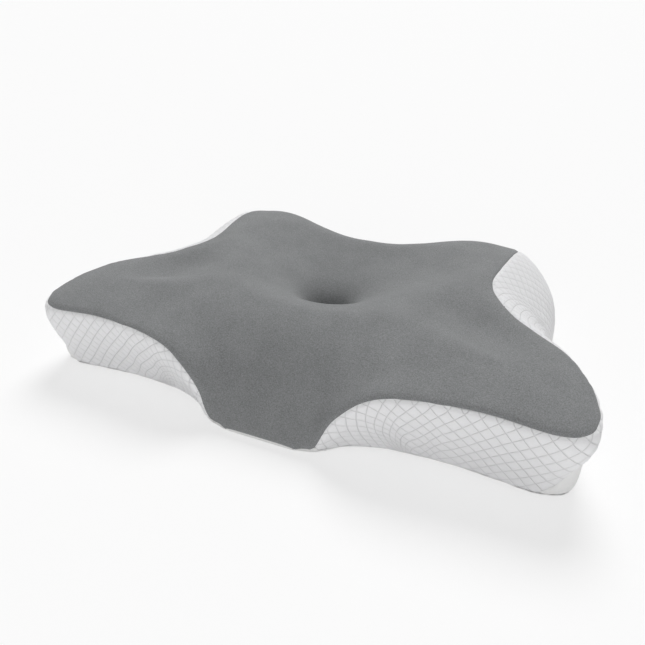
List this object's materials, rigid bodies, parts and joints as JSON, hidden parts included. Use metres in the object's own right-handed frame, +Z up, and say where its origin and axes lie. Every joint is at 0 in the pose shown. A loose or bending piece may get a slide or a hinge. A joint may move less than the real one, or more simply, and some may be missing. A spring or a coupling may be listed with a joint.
{
  "type": "contoured cervical pillow",
  "caption": "Butterfly-shaped memory-foam neck pillow with a grey knit top, white quilted sides, two wings, a low neck tab, a deep centre pit and a rear zip.",
  "frame": {"origin": "centre of the bounding box in plan, on the surface the pillow rests on", "axes": "+X to the right-hand wing, -Y to the front neck tab, +Z up"},
  "size_m": [0.6032, 0.3782, 0.1158],
  "materials": {
    "grey_knit": "fine stretch knit, mid grey",
    "white_quilt": "white jacquard quilted in diamonds",
    "white_cloth": "plain white knit",
    "liner_cloth": "thin white jersey",
    "memory_foam": "open-cell memory foam, matte",
    "white_plastic": "matte moulded plastic",
    "tie_elastic": "round elastic cord",
    "zip_tape": "woven zip tape",
    "zip_nylon": "nylon",
    "zip_metal": "white enamel"
  },
  "bodies": {
    "pillow": {"top_panel": "grey_knit", "gusset_right": "white_quilt", "gusset_left": "white_quilt", "gusset_back": "white_quilt", "front_hem": "white_quilt", "back_strip": "white_cloth", "foot_panel_right": "white_cloth", "foot_panel_left": "white_cloth", "bottom_panel": "white_cloth", "liner_top": "liner_cloth", "liner_base": "liner_cloth", "foam_core": "memory_foam", "tie_button": "white_plastic", "tie_cord": "tie_elastic", "tie_anchor": "white_plastic", "zip_tape_upper": "zip_tape", "zip_tape_lower": "zip_tape", "zip_coil_upper": "zip_nylon", "zip_coil_lower": "zip_nylon", "zip_stop_open": "zip_metal", "zip_stop_closed": "zip_metal"},
    "slider": {"zip_slider": "zip_metal"},
    "pull": {"zip_pull": "zip_metal"}
  },
  "joints": [
    {"name": "zip_slide", "type": "slide", "parent": "pillow", "child": "slider", "axis": [-1, 0, 0], "range_m": [0, 0.2858]},
    {"name": "zip_pull_hinge", "type": "hinge", "parent": "slider", "child": "pull", "pos_m": [0.1429, 0.18755, 0.022], "axis": [0, 0, -1], "range_deg": [0, 175]}
  ]
}
